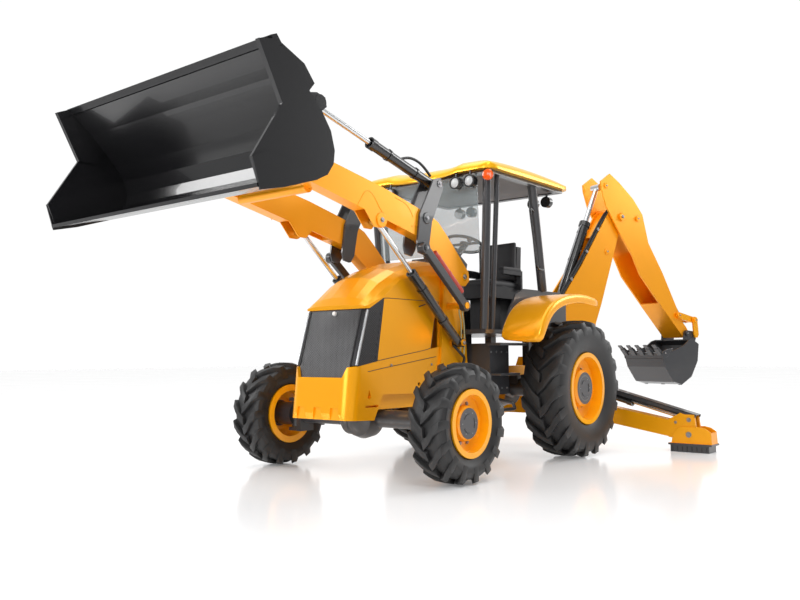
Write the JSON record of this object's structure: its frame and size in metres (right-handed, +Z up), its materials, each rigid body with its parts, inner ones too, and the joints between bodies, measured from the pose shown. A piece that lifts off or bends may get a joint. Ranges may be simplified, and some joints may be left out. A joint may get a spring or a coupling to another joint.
{
  "type": "backhoe loader",
  "caption": "Open-canopy backhoe loader with a loading bucket on levelled lift arms in front and a swinging boom, dipper and digging bucket behind its stabiliser legs.",
  "frame": {"origin": "On the ground plane, under the middle of the machine's bounding box", "axes": "+X is the machine's left, -Y is forward, +Z is up; the wheels stand on z = 0"},
  "size_m": [3.86, 8.0718, 3.27],
  "materials": {
    "yellow_paint": "glossy golden-yellow enamel",
    "orange_paint": "glossy orange-yellow enamel",
    "charcoal_paint": "satin charcoal enamel",
    "black_paint": "glossy black enamel",
    "red_paint": "satin red enamel",
    "rim_paint": "glossy yellow enamel",
    "tyre_rubber": "black rubber with a soft sheen",
    "chrome": "hard-chromed rod",
    "pin_steel": "turned steel",
    "black_plastic": "matte black",
    "seat_cover": "black vinyl",
    "clear_glass": "clear pane",
    "lamp_glass": "lamp with a clear lens"
  },
  "bodies": {
    "chassis": {"chassis_frame": "yellow_paint", "rear_frame": "yellow_paint", "front_axle": "charcoal_paint", "rear_axle": "charcoal_paint", "engine_block": "black_paint", "hood": "yellow_paint", "side_panels": "yellow_paint", "grille": "black_plastic", "front_bumper": "yellow_paint", "side_tanks": "charcoal_paint", "operator_platform": "charcoal_paint", "controls": "black_plastic", "rear_fenders": "yellow_paint", "seat": "seat_cover", "canopy_frame": "charcoal_paint", "canopy_roof": "yellow_paint", "windscreen": "clear_glass", "work_lamps": "lamp_glass"},
    "steering_knuckle_left": {"knuckle_left": "charcoal_paint"},
    "steering_knuckle_right": {"knuckle_right": "charcoal_paint"},
    "wheel_front_left": {"tyre_front_left": "tyre_rubber", "rim_front_left": "rim_paint"},
    "wheel_front_right": {"tyre_front_right": "tyre_rubber", "rim_front_right": "rim_paint"},
    "wheel_rear_left": {"tyre_rear_left": "tyre_rubber", "rim_rear_left": "rim_paint"},
    "wheel_rear_right": {"tyre_rear_right": "tyre_rubber", "rim_rear_right": "rim_paint"},
    "lift_arms": {"loader_arms": "orange_paint"},
    "cranks": {"bell_cranks": "charcoal_paint"},
    "tilt_ram_carriers": {"crank_pins": "pin_steel", "tilt_barrels": "black_paint"},
    "levelling_link_pair": {"levelling_links": "charcoal_paint", "safety_strut": "red_paint"},
    "lift_barrel_pair": {"lift_barrels": "black_paint"},
    "lift_rod_pair": {"lift_rods": "chrome"},
    "tilt_rod_pair": {"tilt_rods": "chrome"},
    "bucket_hinge_pins": {"bucket_pins": "pin_steel"},
    "front_bucket": {"loader_bucket": "charcoal_paint"},
    "swing_post": {"swing_carriage": "yellow_paint"},
    "hoe_boom": {"boom": "orange_paint"},
    "hoe_dipper": {"dipper": "orange_paint"},
    "hoe_bucket_body": {"hoe_bucket": "charcoal_paint"},
    "levers": {"tipping_levers": "yellow_paint"},
    "lever_links": {"tipping_links": "yellow_paint"},
    "boom_barrel_body": {"boom_barrel": "black_paint"},
    "boom_rod_body": {"boom_rod": "chrome"},
    "dipper_barrel_body": {"dipper_barrel": "black_paint"},
    "dipper_rod_body": {"dipper_rod": "chrome"},
    "bucket_barrel_body": {"bucket_barrel": "black_paint"},
    "bucket_rod_body": {"bucket_rod": "chrome"},
    "leg_left": {"stabiliser_leg_left": "yellow_paint"},
    "foot_left": {"stabiliser_pad_left": "charcoal_paint"},
    "leg_barrel_left": {"stabiliser_barrel_left": "black_paint"},
    "leg_rod_left": {"stabiliser_rod_left": "chrome"},
    "leg_right": {"stabiliser_leg_right": "yellow_paint"},
    "foot_right": {"stabiliser_pad_right": "charcoal_paint"},
    "leg_barrel_right": {"stabiliser_barrel_right": "black_paint"},
    "leg_rod_right": {"stabiliser_rod_right": "chrome"}
  },
  "joints": [
    {"name": "steer_left", "type": "hinge", "parent": "chassis", "child": "steering_knuckle_left", "pos_m": [0.8, -1.77285, 0.477], "axis": [0, 0, 1], "range_deg": [-32, 32]},
    {"name": "steer_right", "type": "hinge", "parent": "chassis", "child": "steering_knuckle_right", "pos_m": [-0.8, -1.77285, 0.477], "axis": [0, 0, 1], "range_deg": [-32.5, 32.5]},
    {"name": "spin_front_left", "type": "hinge", "parent": "steering_knuckle_left", "child": "wheel_front_left", "pos_m": [1.025, -1.77285, 0.477], "axis": [1, 0, 0], "continuous": true},
    {"name": "spin_rear_left", "type": "hinge", "parent": "chassis", "child": "wheel_rear_left", "pos_m": [0.885, 0.39715, 0.677], "axis": [1, 0, 0], "continuous": true},
    {"name": "spin_front_right", "type": "hinge", "parent": "steering_knuckle_right", "child": "wheel_front_right", "pos_m": [-1.025, -1.77285, 0.477], "axis": [1, 0, 0], "continuous": true},
    {"name": "spin_rear_right", "type": "hinge", "parent": "chassis", "child": "wheel_rear_right", "pos_m": [-0.885, 0.39715, 0.677], "axis": [1, 0, 0], "continuous": true},
    {"name": "lift", "type": "hinge", "parent": "chassis", "child": "lift_arms", "pos_m": [0, -0.91285, 1.73], "axis": [-1, 0, 0], "range_deg": [-58, 30]},
    {"name": "crank_level", "type": "hinge", "parent": "lift_arms", "child": "cranks", "pos_m": [0, -1.50285, 2.2], "axis": [-1, 0, 0], "range_deg": [-30.02, 58.02]},
    {"name": "carrier_level", "type": "hinge", "parent": "cranks", "child": "tilt_ram_carriers", "pos_m": [0, -1.31285, 2.53], "axis": [-1, 0, 0], "range_deg": [-58.02, 30.02]},
    {"name": "link_turn", "type": "hinge", "parent": "chassis", "child": "levelling_link_pair", "pos_m": [0, -0.98785, 1.46], "axis": [-1, 0, 0], "range_deg": [-58.02, 30.02]},
    {"name": "bucket_level", "type": "hinge", "parent": "lift_arms", "child": "bucket_hinge_pins", "pos_m": [0, -2.90285, 2.38], "axis": [-1, 0, 0], "range_deg": [-30.02, 58.02]},
    {"name": "bucket_tilt", "type": "hinge", "parent": "bucket_hinge_pins", "child": "front_bucket", "pos_m": [0, -2.90285, 2.38], "axis": [-1, 0, 0], "range_deg": [-36, 42]},
    {"name": "lift_ram_tilt", "type": "hinge", "parent": "chassis", "child": "lift_barrel_pair", "pos_m": [0, -0.92785, 1.125], "axis": [1, 0, 0], "range_deg": [-23.98, 46.35]},
    {"name": "lift_ram_stroke", "type": "slide", "parent": "lift_barrel_pair", "child": "lift_rod_pair", "axis": [0, -0.7581, 0.6521], "range_m": [-0.52226, 0.27018]},
    {"name": "tilt_ram_stroke", "type": "slide", "parent": "tilt_ram_carriers", "child": "tilt_rod_pair", "axis": [0, -0.9674, 0.2532], "range_m": [-0.36746, 0.31498]},
    {"name": "swing", "type": "hinge", "parent": "chassis", "child": "swing_post", "pos_m": [0, 1.74715, 0.725], "axis": [0, 0, 1], "range_deg": [-72, 108]},
    {"name": "boom_lift", "type": "hinge", "parent": "swing_post", "child": "hoe_boom", "pos_m": [0.08652, 2.01345, 0.66], "axis": [0.9511, -0.309, 0], "range_deg": [-115, 8]},
    {"name": "dipper_crowd", "type": "hinge", "parent": "hoe_boom", "child": "hoe_dipper", "pos_m": [0.29975, 2.66967, 2.74], "axis": [0.9511, -0.309, 0], "range_deg": [-16, 60]},
    {"name": "hoe_bucket_curl", "type": "hinge", "parent": "hoe_dipper", "child": "hoe_bucket_body", "pos_m": [0.65821, 3.7729, 1.285], "axis": [0.9511, -0.309, 0], "range_deg": [-10, 95]},
    {"name": "boom_ram_tilt", "type": "hinge", "parent": "swing_post", "child": "boom_barrel_body", "pos_m": [0.01545, 1.7947, 1.15], "axis": [0.9511, -0.309, 0], "range_deg": [-105.36, 7.35]},
    {"name": "boom_ram_stroke", "type": "slide", "parent": "boom_barrel_body", "child": "boom_rod_body", "axis": [0.16, 0.4925, 0.8555], "range_m": [-0.06037, 0.86651]},
    {"name": "dipper_ram_tilt", "type": "hinge", "parent": "hoe_boom", "child": "dipper_barrel_body", "pos_m": [0.00927, 1.77568, 1.62], "axis": [0.9511, -0.309, 0], "range_deg": [-0.72, 2.65]},
    {"name": "dipper_ram_stroke", "type": "slide", "parent": "dipper_barrel_body", "child": "dipper_rod_body", "axis": [0.1283, 0.3949, 0.9097], "range_m": [-0.42867, 0.11439]},
    {"name": "lever_turn", "type": "hinge", "parent": "hoe_dipper", "child": "levers", "pos_m": [0.61185, 3.63024, 1.52], "axis": [0.9511, -0.309, 0], "range_deg": [-3.3, 31.15]},
    {"name": "lever_link_turn", "type": "hinge", "parent": "levers", "child": "lever_links", "pos_m": [0.70147, 3.90605, 1.46], "axis": [0.9511, -0.309, 0], "range_deg": [-74.58, 7.87]},
    {"name": "bucket_ram_tilt", "type": "hinge", "parent": "hoe_dipper", "child": "bucket_barrel_body", "pos_m": [0.38936, 2.94548, 2.74], "axis": [0.9511, -0.309, 0], "range_deg": [-0.41, 3.7]},
    {"name": "bucket_ram_stroke", "type": "slide", "parent": "bucket_barrel_body", "child": "bucket_rod_body", "axis": [0.1914, 0.5891, -0.785], "range_m": [-0.12782, 0.01354]},
    {"name": "leg_raise_left", "type": "hinge", "parent": "chassis", "child": "leg_left", "pos_m": [0.46, 1.47715, 0.41], "axis": [0, -1, 0], "range_deg": [0, 75]},
    {"name": "foot_turn_left", "type": "hinge", "parent": "leg_left", "child": "foot_left", "pos_m": [1.69, 1.47715, 0.18], "axis": [0, -1, 0], "range_deg": [-12, 40]},
    {"name": "leg_ram_left_tilt", "type": "hinge", "parent": "chassis", "child": "leg_barrel_left", "pos_m": [0.33, 1.47715, 0.7], "axis": [0, -1, 0], "range_deg": [-0.02, 73.89]},
    {"name": "leg_ram_left_stroke", "type": "slide", "parent": "leg_barrel_left", "child": "leg_rod_left", "axis": [0.9649, 0, -0.2625], "range_m": [-0.38672, 0.0001]},
    {"name": "leg_raise_right", "type": "hinge", "parent": "chassis", "child": "leg_right", "pos_m": [-0.46, 1.47715, 0.41], "axis": [0, 1, 0], "range_deg": [0, 75]},
    {"name": "foot_turn_right", "type": "hinge", "parent": "leg_right", "child": "foot_right", "pos_m": [-1.69, 1.47715, 0.18], "axis": [0, 1, 0], "range_deg": [-12, 40]},
    {"name": "leg_ram_right_tilt", "type": "hinge", "parent": "chassis", "child": "leg_barrel_right", "pos_m": [-0.33, 1.47715, 0.7], "axis": [0, 1, 0], "range_deg": [-0.02, 73.89]},
    {"name": "leg_ram_right_stroke", "type": "slide", "parent": "leg_barrel_right", "child": "leg_rod_right", "axis": [-0.9649, 0, -0.2625], "range_m": [-0.38672, 0.0001]}
  ],
  "couplings": [
    {"joint": "steer_right", "follows": "steer_left", "ratio": 1},
    {"joint": "crank_level", "follows": "lift", "ratio": -1},
    {"joint": "carrier_level", "follows": "lift", "ratio": 1},
    {"joint": "link_turn", "follows": "lift", "ratio": 1},
    {"joint": "bucket_level", "follows": "lift", "ratio": -1},
    {"joint": "lift_ram_tilt", "follows": "lift", "ratio": -0.79876},
    {"joint": "lift_ram_stroke", "follows": "lift", "m_per_rad": 0.51582},
    {"joint": "tilt_ram_stroke", "follows": "bucket_tilt", "m_per_rad": -0.50114},
    {"joint": "boom_ram_tilt", "follows": "boom_lift", "ratio": 0.916},
    {"joint": "boom_ram_stroke", "follows": "boom_lift", "m_per_rad": -0.43167},
    {"joint": "dipper_ram_tilt", "follows": "dipper_crowd", "ratio": 0.043767},
    {"joint": "dipper_ram_stroke", "follows": "dipper_crowd", "m_per_rad": -0.40925},
    {"joint": "lever_turn", "follows": "hoe_bucket_curl", "ratio": 0.32765},
    {"joint": "lever_link_turn", "follows": "hoe_bucket_curl", "ratio": -0.78484},
    {"joint": "bucket_ram_tilt", "follows": "hoe_bucket_curl", "ratio": 0.038735},
    {"joint": "bucket_ram_stroke", "follows": "hoe_bucket_curl", "m_per_rad": -0.07703},
    {"joint": "leg_ram_left_tilt", "follows": "leg_raise_left", "ratio": 0.985},
    {"joint": "leg_ram_left_stroke", "follows": "leg_raise_left", "m_per_rad": -0.29536},
    {"joint": "leg_ram_right_tilt", "follows": "leg_raise_right", "ratio": 0.985},
    {"joint": "leg_ram_right_stroke", "follows": "leg_raise_right", "m_per_rad": -0.29536}
  ]
}
